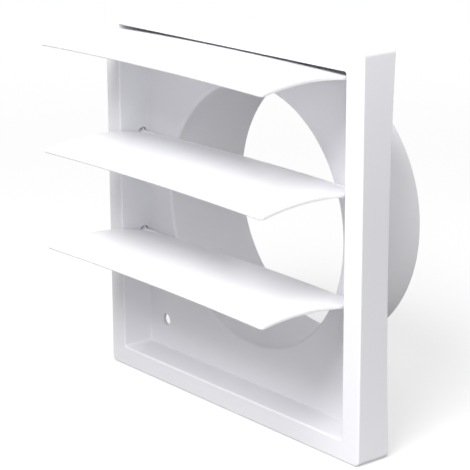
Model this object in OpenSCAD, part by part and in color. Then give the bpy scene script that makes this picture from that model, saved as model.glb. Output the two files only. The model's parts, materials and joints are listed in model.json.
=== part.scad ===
// Backdraft vent grille for a 100 mm round duct.
// One moulded housing (square frame, back plate and duct spigot) carries three loose louvre flaps.
// The origin is on the duct's axis in the plane of the wall. +Y runs into the wall, +Z is up,
// and the flaps are drawn open, as they stand in a stream of air.

/* [Frame] */
// Width and height of the square frame
frame_w = 140; // [136:1:220]
// Depth of the frame, from the wall to its front face
frame_depth = 14; // [12.5:0.5:30]
// Width of the front rim at the two sides
side_rim_w = 8.2; // [7.5:0.1:16]
// Width of the front rim at the top and at the bottom
end_rim_w = 7.6; // [7:0.1:16]
// Thickness of the moulded walls
wall_t = 2; // [1.4:0.1:2.4]
// Thickness of the front face of the rim
face_t = 2; // [1.2:0.1:4]
// Radius of the frame's corners, seen from the front
corner_r = 2; // [1.2:0.1:4]
// Radius of the cavity's corners, seen from the front
inner_corner_r = 1; // [0.5:0.1:3]
// Radius of the front outer edge
edge_r = 0.8; // [0.3:0.1:1.1]

/* [Back plate] */
// Thickness of the back plate
plate_t = 1.6; // [1.2:0.1:2.2]
// Distance from the cavity's sides to the screw holes, across
screw_inset = 10.3; // [8:0.1:12]
// Diameter of the screw holes
screw_d = 4.4; // [3:0.1:5.5]

/* [Spigot] */
// Outer diameter of the duct spigot
spigot_d = 100.5; // [80:0.5:104]
// Wall of the duct spigot
spigot_wall = 2.8; // [1.4:0.1:3.5]
// Length of the duct spigot behind the wall plane
spigot_len = 33; // [15:1:80]
// Lead-in chamfer at the spigot's tip
spigot_chamfer = 1; // [0.4:0.1:1.2]
// Radius of the mouth, where the back plate turns into the spigot
mouth_r = 1.2; // [0.5:0.1:1.4]

/* [Flaps] */
// How far a shut flap hangs over the hinge edge of the flap below it
flap_overlap = 6; // [5.5:0.1:7]
// How far the shut bottom flap would reach past the sill that stops it
sill_catch = 0.1; // [0.05:0.05:0.4]
// Rise of the flap's arc over its chord
flap_rise = 2.4; // [1:0.1:3]
// Bow of the flap along its width
flap_crown = 0.9; // [0.4:0.1:1]
// Thickness of a flap
flap_t = 1.3; // [1:0.1:1.6]
// Radius of the two free corners of a flap
flap_corner_r = 1.2; // [0.8:0.1:5]
// Gap between a flap's end and the frame
flap_end_gap = 0.8; // [0.5:0.1:1.2]
// Radius of the bead along a flap's hinge edge
bead_r = 0.95; // [0.8:0.05:1.1]
// Gap between the open top flap and the rim that stops it
rim_gap = 0.53; // [0.3:0.01:0.8]
// How far the middle flap stands above level when open
middle_open = 0; // [0:0.5:4]
// How far the bottom flap stands above level when open
bottom_open = 3; // [0:0.5:4]

/* [Pivots] */
// Distance from the top of the cavity down to the top pivot
top_drop = 4; // [3.8:0.1:5]
// Wall left between the pivot holes and the back plate
pivot_web = 0.1; // [0.1:0.1:1]
// Diameter of the pivot pins
pin_d = 2.8; // [2:0.1:3]
// Diameter of the pivot holes, which hold the pins loosely
pivot_hole_d = 3.8; // [3.3:0.1:3.8]
// Gap between a pin and the bottom of its hole
pin_clearance = 0.05; // [0.02:0.01:0.1]
// How far a pin stands through the inner wall of the frame
pin_past = 0.4; // [0.1:0.1:1]
// How far a pin is carried on along the hinge edge of its flap
pin_root = 7; // [4:0.5:15]

/* [Hidden] */
plastic = [0.93, 0.93, 0.95];
flap_plastic = [0.96, 0.96, 0.97];
past = 0.5;                                              // how far a cutter runs past what it cuts
least_corner_r = 0.4;                                    // sharpest corner that the mould gives
flap_count = 3;
small_fn = 48;                                           // facets of a small circle
round_fn = 180;                                          // facets of the duct's circles
arc_fn = 720;                                            // facets of a flap's arc
crown_fn = 3600;                                         // facets of a flap's bow along its width
cavity_w = frame_w - 2 * side_rim_w;
cavity_h = frame_w - 2 * end_rim_w;
channel_corner_r = max(corner_r - wall_t, least_corner_r);
screw_pitch = cavity_w - 2 * screw_inset;
bore_d = spigot_d - 2 * spigot_wall;
pivot_depth = plate_t + pivot_hole_d / 2 + pivot_web;    // from the wall plane to the pivots
pivot_pitch = (cavity_h - top_drop - flap_overlap + sill_catch) / flap_count;
flap_chord = pivot_pitch + flap_overlap;                 // from a flap's pivot to its free edge
flap_w = cavity_w - 2 * flap_end_gap;
arc_r = pow(flap_chord, 2) / (8 * flap_rise) + flap_rise / 2;
arc_half = asin(flap_chord / 2 / arc_r);
crown_r = pow(flap_w / 2, 2) / (2 * flap_crown) + flap_crown / 2;
crown_half = asin(flap_w / 2 / crown_r);
sweep_past = 0.5;                                        // degrees that a flap's sweep runs past its ends
pin_drop = (pivot_hole_d - pin_d) / 2 - pin_clearance;   // how far a pin lies below its hole's centre
pin_end = cavity_w / 2 + wall_t + pin_past;
rim_reach = min(frame_depth - pivot_depth, flap_chord / 2);
top_open = asin((top_drop - rim_gap - flap_top(rim_reach)) / rim_reach);
open_angles = [top_open, middle_open, bottom_open];      // above level, from the top flap down

// Height of the i-th pivot over the duct's axis, counted from the top flap
function pivot_height(i) = cavity_h / 2 - top_drop - i * pivot_pitch;

// Height of a level flap's upper face over its pivot, mid-way along its width, at a distance along its chord
function flap_top(along) =
    flap_crown + flap_rise - arc_r + sqrt(pow(arc_r + flap_t / 2, 2) - pow(along - flap_chord / 2, 2));

// A square outline with true round corners
module outline(w, h, r) {
    square([w - 2 * r, h], center = true);
    square([w, h - 2 * r], center = true);
    for (x = [-1, 1], z = [-1, 1])
        translate([x * (w / 2 - r), z * (h / 2 - r)]) circle(r, $fn = small_fn);
}

// Extrudes an outline that is drawn as seen from the front, between two depths
module slab(front, back) {
    translate([0, back, 0]) rotate([90, 0, 0]) linear_extrude(back - front) children();
}

// Turns a section of radius and depth around the duct's axis
module around_duct() {
    rotate([-90, 0, 0]) rotate_extrude($fn = round_fn) children();
}

// What a rounded edge takes away from a square one
module edge_section(r) {
    difference() {
        square(r + past);
        circle(r, $fn = small_fn);
    }
}

// The cut that rounds the front outer edge: four straight runs and four quarter turns
module front_edge_cut(w, r, turn_r) {
    for (side = [0:3]) rotate([0, side * 90, 0]) {
        translate([w / 2 - r, -frame_depth + r, -(w / 2 - turn_r)])
            mirror([0, 1, 0]) linear_extrude(w - 2 * turn_r) edge_section(r);
        translate([w / 2 - turn_r, -frame_depth + r, w / 2 - turn_r])
            rotate([90, 0, 0]) rotate_extrude(angle = 90, $fn = small_fn)
            translate([turn_r - r, 0]) edge_section(r);
    }
}

// Square frame: a front rim with an outer skirt, a channel open to the wall, and the cavity's wall
module frame_shell() {
    difference() {
        slab(-frame_depth, 0) outline(frame_w, frame_w, corner_r);
        slab(-frame_depth - past, past) outline(cavity_w, cavity_h, inner_corner_r);
        slab(-frame_depth + face_t, past) difference() {
            outline(frame_w - 2 * wall_t, frame_w - 2 * wall_t, channel_corner_r);
            outline(cavity_w + 2 * wall_t, cavity_h + 2 * wall_t, inner_corner_r + wall_t);
        }
        front_edge_cut(frame_w, edge_r, corner_r);
    }
}

// Back plate with its four screw holes
module back_plate() {
    slab(-plate_t, 0) difference() {
        outline(cavity_w + wall_t, cavity_h + wall_t, inner_corner_r);
        circle(d = bore_d + 2 * mouth_r, $fn = round_fn);
        for (x = [-1, 1], z = [-1, 1])
            translate([x, z] * screw_pitch / 2) circle(d = screw_d, $fn = small_fn);
    }
}

// Spigot, with the rounded mouth that leads the air into it and a chamfered tip
module spigot() {
    around_duct() difference() {
        polygon([
            [bore_d / 2, -plate_t],
            [bore_d / 2 + mouth_r + past, -plate_t],
            [bore_d / 2 + mouth_r + past, 0],
            [spigot_d / 2, 0],
            [spigot_d / 2, spigot_len - spigot_chamfer],
            [spigot_d / 2 - spigot_chamfer, spigot_len],
            [bore_d / 2, spigot_len]
        ]);
        translate([bore_d / 2 + mouth_r, -plate_t + mouth_r]) rotate(180) edge_section(mouth_r);
    }
}

module housing() {
    color(plastic) difference() {
        union() {
            frame_shell();
            back_plate();
            spigot();
        }
        for (i = [0:2], side = [-1, 1])
            translate([side * cavity_w / 2, -pivot_depth, pivot_height(i) + pin_drop])
                rotate([0, side * 90, 0])
                translate([0, 0, -past])
                cylinder(d = pivot_hole_d, h = wall_t + 2 * past, $fn = small_fn);
    }
}

// Section of a flap, from its bead to its rounded free edge: height over the chord, length along it
module flap_section() {
    centre = [flap_rise - arc_r, flap_chord / 2];
    reach = arc_r + flap_t;
    intersection() {
        translate(centre) difference() {
            circle(arc_r + flap_t / 2, $fn = arc_fn);
            circle(arc_r - flap_t / 2, $fn = arc_fn);
        }
        polygon([
            centre,
            centre + reach / cos(arc_half) * [cos(arc_half), -sin(arc_half)],
            centre + reach / cos(arc_half) * [cos(arc_half), sin(arc_half)]
        ]);
    }
    translate([0, flap_chord]) circle(flap_t / 2, $fn = small_fn);
    circle(bead_r, $fn = small_fn);
}

// Plan of a flap: square at the hinge edge, with rounded free corners
module flap_plan() {
    free_edge = -flap_chord - flap_t / 2;
    translate([-flap_w / 2, free_edge + flap_corner_r])
        square([flap_w, -free_edge - flap_corner_r + 2 * bead_r]);
    translate([-flap_w / 2 + flap_corner_r, free_edge - past])
        square([flap_w - 2 * flap_corner_r, flap_corner_r + 2 * past]);
    for (side = [-1, 1])
        translate([side * (flap_w / 2 - flap_corner_r), free_edge + flap_corner_r])
            circle(flap_corner_r, $fn = small_fn);
}

// One flap about its pivot: a shell bowed both ways, with a round pin at each end of its hinge edge
module flap() {
    plan_reach = flap_rise + flap_chord / 4;             // the plan's prism takes in the whole shell
    intersection() {
        translate([0, 0, -crown_r * cos(crown_half)])
            rotate([90, 0, 0]) rotate([0, 0, 90 - crown_half - sweep_past])
            rotate_extrude(angle = 2 * (crown_half + sweep_past), $fn = crown_fn)
            translate([crown_r, 0]) flap_section();
        translate([0, 0, -plan_reach]) linear_extrude(2 * plan_reach) flap_plan();
    }
    for (side = [-1, 1]) rotate([0, side * 90, 0])
        translate([0, 0, flap_w / 2 - pin_root])
        cylinder(d = pin_d, h = pin_end - flap_w / 2 + pin_root, $fn = small_fn);
}

module placed_flap(i) {
    color(flap_plastic)
        translate([0, -pivot_depth, pivot_height(i)]) rotate([-open_angles[i], 0, 0]) flap();
}

module top_flap() { placed_flap(0); }
module middle_flap() { placed_flap(1); }
module bottom_flap() { placed_flap(2); }

housing();
top_flap();
middle_flap();
bottom_flap();
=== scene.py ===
import json
import math
import bpy
import numpy as np
from mathutils import Matrix, Vector


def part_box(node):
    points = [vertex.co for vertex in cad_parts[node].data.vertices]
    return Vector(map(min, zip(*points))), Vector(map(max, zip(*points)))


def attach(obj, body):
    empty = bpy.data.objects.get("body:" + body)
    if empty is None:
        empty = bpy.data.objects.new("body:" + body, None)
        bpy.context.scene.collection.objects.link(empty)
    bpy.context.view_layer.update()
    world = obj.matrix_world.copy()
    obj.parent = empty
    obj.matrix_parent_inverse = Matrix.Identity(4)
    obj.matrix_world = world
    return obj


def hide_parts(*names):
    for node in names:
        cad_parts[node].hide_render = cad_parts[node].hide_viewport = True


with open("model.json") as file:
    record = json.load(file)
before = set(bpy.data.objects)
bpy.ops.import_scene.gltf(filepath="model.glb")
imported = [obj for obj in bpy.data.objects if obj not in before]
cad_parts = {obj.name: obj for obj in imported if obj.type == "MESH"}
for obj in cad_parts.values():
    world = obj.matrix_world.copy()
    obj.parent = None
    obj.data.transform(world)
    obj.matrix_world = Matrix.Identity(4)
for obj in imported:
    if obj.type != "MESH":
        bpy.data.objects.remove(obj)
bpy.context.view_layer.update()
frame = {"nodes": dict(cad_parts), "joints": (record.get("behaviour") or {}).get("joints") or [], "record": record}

mm = 0.001
joints = {j["child"]: j for j in frame["joints"]}
mounts = {m["name"]: m for m in frame["record"]["mounts"]}
spigotRadius = mounts["duct_spigot"]["dims"]["r_mm"]
screwRadius = mounts["wall_screws"]["dims"]["hole_r_mm"]
screwPitch = mounts["wall_screws"]["dims"]["spacing_x_mm"]
plateDepth = -mounts["wall_screws"]["pos_m"][1] / mm
housingLow, housingHigh = (np.array(corner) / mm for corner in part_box("housing"))
print("frame loaded:", ", ".join(sorted(frame["nodes"])))


def toLinear(hexColour):
    # sRGB hex to linear RGBA by the standard curve
    srgb = np.array([int(hexColour[i:i + 2], 16) for i in (1, 3, 5)]) / 255
    linear = np.where(srgb <= 0.04045, srgb / 12.92, ((srgb + 0.055) / 1.055) ** 2.4)
    return (*linear.tolist(), 1.0)


def gridFaces(rows, columns, closeRows, closeColumns):
    # Quads between the neighbours of a grid of points, wrapped round where a direction closes
    i, j = np.meshgrid(np.arange(rows if closeRows else rows - 1),
                       np.arange(columns if closeColumns else columns - 1), indexing="ij")
    nextI, nextJ = (i + 1) % rows, (j + 1) % columns
    corners = [i * columns + j, nextI * columns + j, nextI * columns + nextJ, i * columns + nextJ]
    return np.stack(corners, -1).reshape(-1, 4)


def meshObject(name, points, faces):
    # Points are millimetres in the part's own frame, faces are rows of point numbers
    mesh = bpy.data.meshes.new(name)
    mesh.from_pydata((np.asarray(points).reshape(-1, 3) * mm).tolist(), [],
                     [tuple(f) for group in faces for f in np.asarray(group).tolist()])
    mesh.validate()
    made = bpy.data.objects.new(name, mesh)
    bpy.context.scene.collection.objects.link(made)
    return made


def turnedSolid(axial, radial, around):
    # Body of revolution about X: radius as a function of the place along the axis, with closed poles
    angle = np.linspace(0, 2 * np.pi, around, endpoint=False)
    axial, radial = np.asarray(axial)[:, None], np.asarray(radial)[:, None]
    points = np.stack(np.broadcast_arrays(axial, radial * np.cos(angle), radial * np.sin(angle)), -1)
    rings = len(axial)
    ends = [np.arange(around)[::-1][None], ((rings - 1) * around + np.arange(around))[None]]
    return points, gridFaces(rings, around, False, True)[:, ::-1], ends


def joinSolids(name, solids):
    # Several closed solids in one mesh, each given as points, quads and end faces
    points, faces, start = [], [], 0
    for grid, quads, ends in solids:
        points.append(grid.reshape(-1, 3))
        faces += [quads + start] + [end + start for end in ends]
        start += points[-1].shape[0]
    return meshObject(name, np.concatenate(points), faces)


def combine(piece, tool, operation):
    # Exact boolean of two closed meshes, kept as plain mesh
    step = piece.modifiers.new("combine", "BOOLEAN")
    step.object, step.operation, step.solver = tool, operation, "EXACT"
    finished = bpy.data.meshes.new_from_object(piece.evaluated_get(bpy.context.evaluated_depsgraph_get()))
    piece.modifiers.clear()
    piece.data = finished
    bpy.data.objects.remove(tool)


def smoothShade(piece, creaseAngle=32):
    # Flats shade flat and small radii shade round: normals weighted by face area, creases kept
    piece.data.shade_smooth()
    piece.data.set_sharp_from_angle(angle=math.radians(creaseAngle))
    weighted = piece.modifiers.new("weighted normals", "WEIGHTED_NORMAL")
    weighted.keep_sharp = True


def place(piece, body, node, material):
    # Gives a finished piece its finish and its body, and hides the solid that it stands for
    piece.data.materials.clear()
    piece.data.materials.append(material)
    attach(piece, body)
    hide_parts(node)


def arcSteps(centreA, centreB, radius, start, end, steps):
    # Points on a circular arc between two angles in degrees, as two arrays
    angle = np.radians(np.linspace(start, end, steps + 1))
    return centreA + radius * np.cos(angle), centreB + radius * np.sin(angle)


def addNode(tree, kind, links=(), **settings):
    # Adds a shader node, sets its properties and inputs by name, and links (input, output) pairs
    node = tree.nodes.new(kind)
    for key, value in settings.items():
        if hasattr(node, key):
            setattr(node, key, value)
        else:
            node.inputs[key.replace("_", " ")].default_value = value
    for key, output in links:
        tree.links.new(output, node.inputs[key])
    return node


# Camera at the photograph's viewing angle
cameraForm = {
    "aim": (3.19, -11.92, -4.14),       # point on the optical axis, just in front of the housing
    "distance": 642.94,
    "azimuth": 51.01,
    "elevation": 15.78,
    "roll": -0.26,
    "lens": 140.53,
    "sensor": 36.0,
}


def makeCamera(form):
    data = bpy.data.cameras.new("camera")
    data.lens, data.sensor_width = form["lens"], form["sensor"]
    data.clip_start, data.clip_end = 0.01, 20.0
    azimuth, elevation = math.radians(form["azimuth"]), math.radians(form["elevation"])
    back = Vector((math.sin(azimuth) * math.cos(elevation),
                   -math.cos(azimuth) * math.cos(elevation), math.sin(elevation)))
    camera = bpy.data.objects.new("camera", data)
    bpy.context.scene.collection.objects.link(camera)
    camera.rotation_mode = "QUATERNION"
    camera.location = Vector(form["aim"]) * mm + back * form["distance"] * mm
    level = (-back).to_track_quat("-Z", "Y")
    camera.rotation_quaternion = level @ Matrix.Rotation(math.radians(form["roll"]), 3, "Z").to_quaternion()
    bpy.context.scene.camera = camera
    print("camera placed")


makeCamera(cameraForm)

# Housing: one surface carried round the duct, from the front rim through the duct and back to the rim
housingForm = {
    "sideRim": 8.2,            # width of the front rim at the sides
    "endRim": 7.6,             # and at the top and bottom
    "wall": 2.0,
    "face": 2.0,               # thickness of the front face
    "cornerRadius": 2.0,
    "cavityCorner": 1.0,
    "channelCorner": 0.4,
    "frontEdge": 0.8,          # round on the front outer edge
    "cavityEdge": 0.6,         # round on the front inner edge
    "insideCorner": 0.35,      # fillets inside the mould's corners
    "rearEdge": 0.3,
    "spigotWall": 2.8,
    "mouth": 1.2,              # round between plate and bore
    "chamfer": 1.0,
    "sideBow": 1.7,            # how far the skirt's side walls bow in at mid-height, at their rear edge
    "straightSteps": 19,
    "cornerSteps": 10,
}


def outlineRings(halfW, halfH, corner, depth, roundness):
    # One ring for each station. A ring is a rectangle with round corners, in which every quarter is half
    # a side, a corner arc and half a side; roundness 1 puts the same points on a circle instead.
    m, c = housingForm["straightSteps"], housingForm["cornerSteps"]
    alongX = np.concatenate([np.ones(m + c), np.linspace(1, 0, m + 1)])
    alongZ = np.concatenate([np.linspace(0, 1, m + 1)[:-1], np.ones(c + m + 1)])
    turn = np.radians(np.concatenate([np.zeros(m), np.linspace(0, 90, c + 1), np.full(m, 90)]))
    q = 2 * m + c
    there, back = np.arange(q), np.arange(q, 0, -1)
    index = np.concatenate([there, back, there, back])
    signX = np.repeat([1, -1, -1, 1], q)
    signZ = np.repeat([1, 1, -1, -1], q)
    halfW, halfH, corner, depth, roundness = (
        np.asarray(a, float)[:, None] for a in (halfW, halfH, corner, depth, roundness))
    squareX = signX * ((halfW - corner) * alongX[index] + corner * np.cos(turn[index]))
    squareZ = signZ * ((halfH - corner) * alongZ[index] + corner * np.sin(turn[index]))
    angle = np.linspace(0, 2 * np.pi, 4 * q, endpoint=False)
    x = (1 - roundness) * squareX + roundness * halfW * np.cos(angle)
    z = (1 - roundness) * squareZ + roundness * halfH * np.sin(angle)
    return np.stack(np.broadcast_arrays(x, depth, z), -1)


def housingStations(form):
    # The section, as offsets from four outlines: (half width, half height, corner, depth, roundness)
    front, rear, plate = housingLow[1], 0.0, -plateDepth
    tip = housingHigh[1]
    halfFrame = housingHigh[0]
    cavity = (halfFrame - form["sideRim"], halfFrame - form["endRim"], form["cavityCorner"])
    channel = tuple(v + form["wall"] for v in cavity)
    skirt = (halfFrame - form["wall"], halfFrame - form["wall"], form["channelCorner"])
    outer = (halfFrame, halfFrame, form["cornerRadius"])
    bore = spigotRadius - form["spigotWall"]
    inside, rearEdge = form["insideCorner"], form["rearEdge"]
    stations = []

    def along(base, offset, depth):
        # Stations at offsets outwards from an outline
        offset, depth = np.broadcast_arrays(np.atleast_1d(offset), np.atleast_1d(depth))
        for o, d in zip(offset, depth):
            stations.append((base[0] + o, base[1] + o, max(base[2] + o, 0.05), d, 0.0))

    def circle(radius, depth):
        radius, depth = np.broadcast_arrays(np.atleast_1d(radius), np.atleast_1d(depth))
        for r, d in zip(radius, depth):
            stations.append((r, r, r, d, 1.0))

    def between(first, last, depth, steps):
        # Stations across a flat, from one outline to another
        for t in np.linspace(0, 1, steps + 2)[1:-1]:
            stations.append(tuple((1 - t) * a + t * b for a, b in zip(first, last)) + (depth, t))

    e = form["cavityEdge"]
    along(cavity, *arcSteps(e, front + e, e, 270, 180, 6))
    along(cavity, *arcSteps(-inside, plate - inside, inside, 0, 90, 4))
    mouth = form["mouth"]
    between((cavity[0] - inside, cavity[1] - inside, cavity[2]), (bore + mouth,) * 3, plate, 5)
    circle(*arcSteps(bore + mouth, plate + mouth, mouth, 270, 180, 8))
    circle(*arcSteps(bore + rearEdge, tip - rearEdge, rearEdge, 180, 90, 4))
    lip = 0.25
    chamfer = form["chamfer"]
    circle(spigotRadius - chamfer - lip, tip)
    circle(spigotRadius - chamfer, tip)
    circle([spigotRadius - chamfer + lip, spigotRadius - lip], [tip - lip, tip - chamfer + lip])
    circle([spigotRadius, spigotRadius], [tip - chamfer, tip - chamfer - lip])
    circle(*arcSteps(spigotRadius + inside, rear + inside, inside, 180, 270, 4))
    between((spigotRadius + inside,) * 3, (channel[0] - rearEdge, channel[1] - rearEdge, channel[2]),
            rear, 4)
    for k in range(4):
        stations[-1 - k] = stations[-1 - k][:4] + (1 - stations[-1 - k][4],)
    along(channel, *arcSteps(-rearEdge, rear - rearEdge, rearEdge, 90, 0, 4))
    roof = front + form["face"]
    along(channel, *arcSteps(inside, roof + inside, inside, 180, 270, 4))
    along(skirt, *arcSteps(-inside, roof + inside, inside, 270, 360, 4))
    along(skirt, *arcSteps(rearEdge, rear - rearEdge, rearEdge, 180, 90, 4))
    along(outer, *arcSteps(-rearEdge, rear - rearEdge, rearEdge, 90, 0, 4))
    f = form["frontEdge"]
    along(outer, *arcSteps(-f, front + f, f, 0, -90, 8))
    return np.array(stations).T


def bowSides(points, form):
    # The skirt's side walls bow in between the corners, more and more from the front face to the rear edge:
    # x moved by sideBow * depth share ** 1.3 * (1 - (z / half height) ** 2)
    halfFrame, front = housingHigh[0], housingLow[1]
    reach = np.clip((points[..., 1] - front) / -front, 0, 1) ** 1.3
    middle = 1 - (points[..., 2] / halfFrame) ** 2
    skirt = (np.abs(points[..., 0]) > halfFrame - form["wall"] - 0.01) & (points[..., 1] < 0.01)
    points[..., 0] -= np.sign(points[..., 0]) * form["sideBow"] * reach * middle * skirt
    return points


def holeCutter(radius, centre, start, end, axis, flare):
    # Round cutter from start to end along its axis, widening to a small round where it leaves the wall
    turn = np.radians(np.linspace(0, 90, 5))
    widen = radius + flare * (1 - np.cos(turn[::-1]))
    depth = flare * (1 - np.sin(turn[::-1]))
    past = 1.0
    axial = np.concatenate([[start - past, start], start + depth[1:],
                            end - depth[1:][::-1], [end, end + past]])
    radial = np.concatenate([[widen[0]] * 2, widen[1:], widen[1:][::-1], [widen[0]] * 2])
    points, quads, ends = turnedSolid(axial, radial, 48)
    if axis == "y":
        points = points[..., [1, 0, 2]]
        quads, ends = quads[:, ::-1], [end[:, ::-1] for end in ends]
    return points + np.array(centre), quads, ends


def makeHousing(form, material):
    points = bowSides(outlineRings(*housingStations(form)), form)
    rings, around = points.shape[:2]
    housing = meshObject("housingShell", points, [gridFaces(rings, around, True, True)])
    cavityHalf = housingHigh[0] - form["sideRim"]
    cutters = []
    for x in (-1, 1):
        for z in (-1, 1):
            centre = (x * screwPitch / 2, 0, z * screwPitch / 2)
            cutters.append(holeCutter(screwRadius, centre, -plateDepth, 0, "y", 0.2))
        for joint in joints.values():
            pivot = np.array(joint["pos_m"]) / mm
            start, end = sorted((x * cavityHalf, x * (cavityHalf + form["wall"])))
            centre = (0, pivot[1], pivot[2] + pivotForm["drop"])
            cutters.append(holeCutter(pivotForm["holeRadius"], centre, start, end, "x", 0.15))
    combine(housing, joinSolids("holeCutters", cutters), "DIFFERENCE")
    smoothShade(housing)
    place(housing, "housing", "housing", material)
    print("housing built,", len(housing.data.polygons), "faces")


pivotForm = {
    "holeRadius": 1.9,
    "drop": 0.45,              # the pin lies this far below the middle of its hole
    "pinRadius": 1.4,
    "pinPast": 0.4,            # how far it stands through the wall
    "pinRoot": 7.0,            # how far it is carried on along the flap's edge
    "rootBlend": 2.5,          # length over which it grows out of that edge
    "rootRadius": 0.75,        # and the radius it grows from
    "endRound": 0.3,
}

# Flap: a shell bowed along its chord and, more gently, along its width
flapForm = {
    "thickness": 1.3,
    "chord": 44.3,
    "rise": 2.4,
    "crown": 0.9,
    "bead": 0.95,
    "cornerRadius": 1.2,
    "endGap": 0.8,             # between the flap's end and the cavity's wall
    "endRound": 0.35,
    "openAngle": {"top_flap": 1.0, "middle_flap": 0.0, "bottom_flap": 3.0},
    "chordSteps": 56,
    "widthSteps": 72,
}


def flapSection(form, inset):
    # The section's outline moved in by inset: a thickness laid on both sides of a circular arc, which grows
    # from a round bead at the hinge and ends in a half round at the free edge
    radius = form["chord"] ** 2 / (8 * form["rise"]) + form["rise"] / 2
    half = math.asin(form["chord"] / 2 / radius)
    length = 2 * half * radius
    bead, edge = form["bead"] - inset, form["thickness"] / 2 - inset
    quarter = np.radians(np.linspace(0, 90, 9))
    along = np.concatenate([-bead * np.cos(quarter[:-1]), np.linspace(0, 3, 16)[:-1],
                            np.linspace(3, length, form["chordSteps"])[:-1], length + edge * np.sin(quarter)])
    beadHalf = np.sqrt(np.clip(bead ** 2 - along ** 2, 0, None))
    blended = 0.5 * (beadHalf + edge + np.sqrt((beadHalf - edge) ** 2 + 0.05 ** 2))
    tipHalf = np.sqrt(np.clip(edge ** 2 - np.clip(along - length, 0, None) ** 2, 0, None))
    halfThick = np.where(along < 0, beadHalf, np.where(along > length, tipHalf, blended))
    angle = along / radius - half
    middle = np.stack([form["chord"] / 2 + radius * np.sin(angle),
                       form["rise"] - radius + radius * np.cos(angle)], -1)
    normal = np.stack([np.sin(angle), np.cos(angle)], -1)
    upper, lower = middle + normal * halfThick[:, None], middle - normal * halfThick[:, None]
    return np.concatenate([upper, lower[-2:0:-1]])


def flapSurface(form, width):
    # The section carried along X, lifted by the crown's arc, drawn back at the two free corners, and moved
    # in over the end rounds
    endRound, corner = form["endRound"], form["cornerRadius"] - form["endRound"]
    quarter = np.radians(np.linspace(0, 90, 7))
    flat = width / 2 - endRound - corner
    half = np.concatenate([np.linspace(0, flat, form["widthSteps"] // 2)[:-1],
                           flat + corner * np.sin(quarter)[:-1],
                           width / 2 - endRound + endRound * np.sin(quarter)])
    pull = corner - np.sqrt(np.clip(corner ** 2 - np.clip(half - flat, 0, corner) ** 2, 0, None))
    past = np.clip(half - (width / 2 - endRound), 0, endRound)
    inset = np.clip(endRound - np.sqrt(np.clip(endRound ** 2 - past ** 2, 0, None)), 0, endRound)
    x = np.concatenate([-half[:0:-1], half])
    pull, inset = np.concatenate([pull[:0:-1], pull]), np.concatenate([inset[:0:-1], inset])
    sections = np.stack([flapSection(form, i) for i in inset])
    reach = form["chord"] + form["thickness"] / 2
    chordwise = sections[..., 0] * np.where(sections[..., 0] > 0, 1 - pull[:, None] / reach, 1)
    crownRadius = (width / 2) ** 2 / (2 * form["crown"]) + form["crown"] / 2
    crown = np.sqrt(crownRadius ** 2 - x ** 2) - (crownRadius - form["crown"])
    height = sections[..., 1] + crown[:, None]
    return np.stack(np.broadcast_arrays(x[:, None], -chordwise, height), -1)


def capFaces(count, start):
    # Closes an end: each upper point lies over a lower one, so a strip of quads and two triangles fill it
    i = np.arange(1, count // 2 - 1)
    quads = np.stack([i, i + 1, count - i - 1, count - i], -1)
    last = count // 2
    triangles = np.array([[0, 1, count - 1], [last - 1, last, last + 1]])
    return quads + start, triangles + start


def makeFlap(node, form, material):
    cavityHalf = housingHigh[0] - housingForm["sideRim"]
    width = 2 * (cavityHalf - form["endGap"])
    points = flapSurface(form, width)
    rings, around = points.shape[:2]
    left, right = capFaces(around, 0), capFaces(around, (rings - 1) * around)
    faces = [gridFaces(rings, around, False, True)]
    faces += [cap[:, ::-1] for cap in right] + list(left)
    flap = meshObject(node.replace("_flap", "") + "FlapShell", points, faces)
    pinEnd = cavityHalf + housingForm["wall"] + pivotForm["pinPast"]
    root, r, e = width / 2 - pivotForm["pinRoot"], pivotForm["pinRadius"], pivotForm["endRound"]
    roundX, roundR = arcSteps(pinEnd - e, r - e, e, 90, 0, 5)
    taper = np.linspace(0, 1, 7)
    blend, tip = pivotForm["rootBlend"], pivotForm["rootRadius"]
    axial = np.concatenate([root + blend * taper[:-1], np.linspace(root + blend, pinEnd - e, 6)[:-1], roundX])
    growth = (3 * taper ** 2 - 2 * taper ** 3)[:-1]
    radial = np.concatenate([tip + (r - tip) * growth, np.full(5, r), roundR])
    pin, quads, ends = turnedSolid(axial, radial, 40)
    mirrored = pin * np.array([-1, 1, 1])
    pins = joinSolids("pins", [(pin, quads, ends), (mirrored, quads[:, ::-1], [end[:, ::-1] for end in ends])])
    combine(flap, pins, "UNION")
    turn = Matrix.Rotation(-math.radians(form["openAngle"][node]), 4, "X")
    flap.data.transform(Matrix.Translation(Vector(joints[node]["pos_m"])) @ turn)
    smoothShade(flap)
    place(flap, node, node, material)
    print(node, "built,", len(flap.data.polygons), "faces")


# ABS from a steel mould: an opaque, faintly cool white, satin because the mould is finely eroded
housingFinish = {"colour": "#E7E7EB", "roughness": 0.42, "grain": 0.35, "grainHeight": 0.003,
                 "swell": 16.0, "swellHeight": 0.010, "glossSpread": 0.05, "glow": 0.06}
# The flaps are a touch smoother, so the light runs along their bow, and their white is a touch brighter than the
# housing's: painted light, standing in for the light that falls on their tops from above
flapFinishPaintedBrighter = {"colour": "#EBEBEE", "roughness": 0.36, "grain": 0.30, "grainHeight": 0.002,
              "swell": 20.0, "swellHeight": 0.008, "glossSpread": 0.05, "glow": 0.06}


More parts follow.
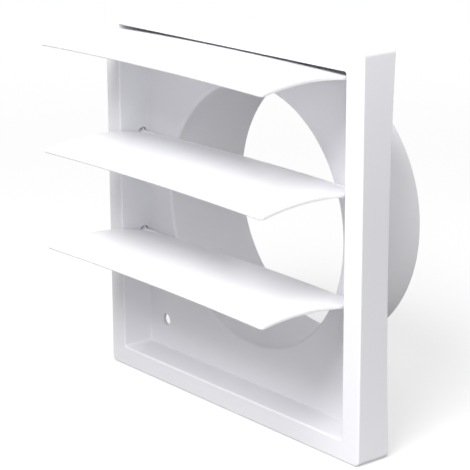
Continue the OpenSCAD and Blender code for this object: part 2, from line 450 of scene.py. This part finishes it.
def mouldedAbs(name, finish):
    material = bpy.data.materials.new(name)
    material.use_nodes = True
    tree = material.node_tree
    tree.nodes.clear()
    spot = addNode(tree, "ShaderNodeTexCoord").outputs["Object"]
    grain = addNode(tree, "ShaderNodeTexNoise", [("Vector", spot)],
                    Scale=1 / (finish["grain"] * mm), Detail=2.0)
    swell = addNode(tree, "ShaderNodeTexNoise", [("Vector", spot)],
                    Scale=1 / (finish["swell"] * mm), Detail=1.0)
    swellBump = addNode(tree, "ShaderNodeBump", [("Height", swell.outputs["Fac"])],
                        Strength=1.0, Distance=finish["swellHeight"] * mm)
    grainBump = addNode(tree, "ShaderNodeBump",
                        [("Height", grain.outputs["Fac"]), ("Normal", swellBump.outputs[0])],
                        Strength=1.0, Distance=finish["grainHeight"] * mm)
    gloss = addNode(tree, "ShaderNodeMapRange", [("Value", swell.outputs["Fac"])])
    gloss.inputs["To Min"].default_value = finish["roughness"] - finish["glossSpread"]
    gloss.inputs["To Max"].default_value = finish["roughness"] + finish["glossSpread"]
    shader = addNode(tree, "ShaderNodeBsdfPrincipled",
                     [("Normal", grainBump.outputs[0]), ("Roughness", gloss.outputs[0])], IOR=1.53)
    shader.inputs["Base Color"].default_value = toLinear(finish["colour"])
    shader.inputs["Subsurface Weight"].default_value = finish["glow"]
    shader.inputs["Subsurface Radius"].default_value = (1.0, 0.95, 0.9)
    shader.inputs["Subsurface Scale"].default_value = 1.0 * mm
    addNode(tree, "ShaderNodeOutputMaterial", [("Surface", shader.outputs[0])])
    return material


housingAbs = mouldedAbs("satin moulded ABS", housingFinish)
# the flaps' brighter white is painted light, not a colour of their own
flapAbs = mouldedAbs("smooth moulded ABS", flapFinishPaintedBrighter)
makeHousing(housingForm, housingAbs)
for flapNode in flapForm["openAngle"]:
    makeFlap(flapNode, flapForm, flapAbs)

# Studio: a white world, a soft key from the front and above, and a weaker fill from the right
studio = {
    "ambient": 0.55,
    "lamps": {
        # name: (direction towards the lamp, distance, width, power in watts)
        "key": ((0.30, -0.70, 0.80), 900, 500, 9.0),
        "fill": ((0.90, -0.50, 0.15), 900, 700, 2.0),
    },
    "floorWidth": 4000,
    "floorColour": "#FFFFFF",   # as the camera sees it near the housing, where its light shows the shadow
    "floorBounce": "#A0A0A0",   # what the floor throws back on the object
    "shadowShare": 0.4,         # how much of that light shows over plain white
    "shadowReach": (150, 700),  # where it fades to plain white, from the housing
}


def makeStudio(form):
    world = bpy.data.worlds.new("studio")
    bpy.context.scene.world = world
    world.use_nodes = True
    tree = world.node_tree
    tree.nodes.clear()
    path = addNode(tree, "ShaderNodeLightPath").outputs
    seen = addNode(tree, "ShaderNodeMath", operation="MAXIMUM")
    seenToo = addNode(tree, "ShaderNodeMath", operation="MAXIMUM")
    tree.links.new(path["Is Camera Ray"], seen.inputs[0])
    tree.links.new(path["Is Glossy Ray"], seen.inputs[1])
    tree.links.new(seen.outputs[0], seenToo.inputs[0])
    tree.links.new(path["Is Transmission Ray"], seenToo.inputs[1])
    ambient = addNode(tree, "ShaderNodeBackground", Color=toLinear("#FFFFFF"), Strength=form["ambient"])
    white = addNode(tree, "ShaderNodeBackground", Color=toLinear("#FFFFFF"), Strength=1.0)
    mix = addNode(tree, "ShaderNodeMixShader", [("Fac", seenToo.outputs[0])])
    tree.links.new(ambient.outputs[0], mix.inputs[1])
    tree.links.new(white.outputs[0], mix.inputs[2])
    addNode(tree, "ShaderNodeOutputWorld", [("Surface", mix.outputs[0])])

    for name, (direction, distance, width, power) in form["lamps"].items():
        data = bpy.data.lights.new(name, "AREA")
        data.shape, data.size, data.energy = "DISK", width * mm, power
        lamp = bpy.data.objects.new(name, data)
        bpy.context.scene.collection.objects.link(lamp)
        towards = Vector(direction).normalized()
        lamp.location = towards * distance * mm
        lamp.rotation_mode = "QUATERNION"
        lamp.rotation_quaternion = towards.to_track_quat("Z", "Y")

    half = form["floorWidth"] / 2
    level = housingLow[2]
    floor = meshObject("floor", [(-half, -half, level), (half, -half, level), (half, half, level),
                                 (-half, half, level)], [np.array([[0, 1, 2, 3]])])
    paper = bpy.data.materials.new("white seamless paper")
    paper.use_nodes = True
    tree = paper.node_tree
    tree.nodes.clear()
    path = addNode(tree, "ShaderNodeLightPath").outputs
    bounced = addNode(tree, "ShaderNodeBsdfDiffuse", Color=toLinear(form["floorBounce"]))
    lit = addNode(tree, "ShaderNodeBsdfDiffuse", Color=toLinear(form["floorColour"]))
    plain = addNode(tree, "ShaderNodeEmission", Color=toLinear("#FFFFFF"), Strength=1.0)
    spot = addNode(tree, "ShaderNodeTexCoord").outputs["Object"]
    reach = addNode(tree, "ShaderNodeVectorMath", [(0, spot)], operation="LENGTH")
    fade = addNode(tree, "ShaderNodeMapRange", [("Value", reach.outputs["Value"])],
                   interpolation_type="SMOOTHSTEP")
    fade.inputs["From Min"].default_value = form["shadowReach"][0] * mm
    fade.inputs["From Max"].default_value = form["shadowReach"][1] * mm
    fade.inputs["To Min"].default_value = 1 - form["shadowShare"]
    seen = addNode(tree, "ShaderNodeMixShader",
                   [("Fac", fade.outputs[0]), (1, lit.outputs[0]), (2, plain.outputs[0])])
    mix = addNode(tree, "ShaderNodeMixShader",
                  [("Fac", path["Is Camera Ray"]), (1, bounced.outputs[0]), (2, seen.outputs[0])])
    addNode(tree, "ShaderNodeOutputMaterial", [("Surface", mix.outputs[0])])
    floor.data.materials.append(paper)
    bpy.context.scene.view_settings.view_transform = "Standard"
    print("studio lit")


makeStudio(studio)
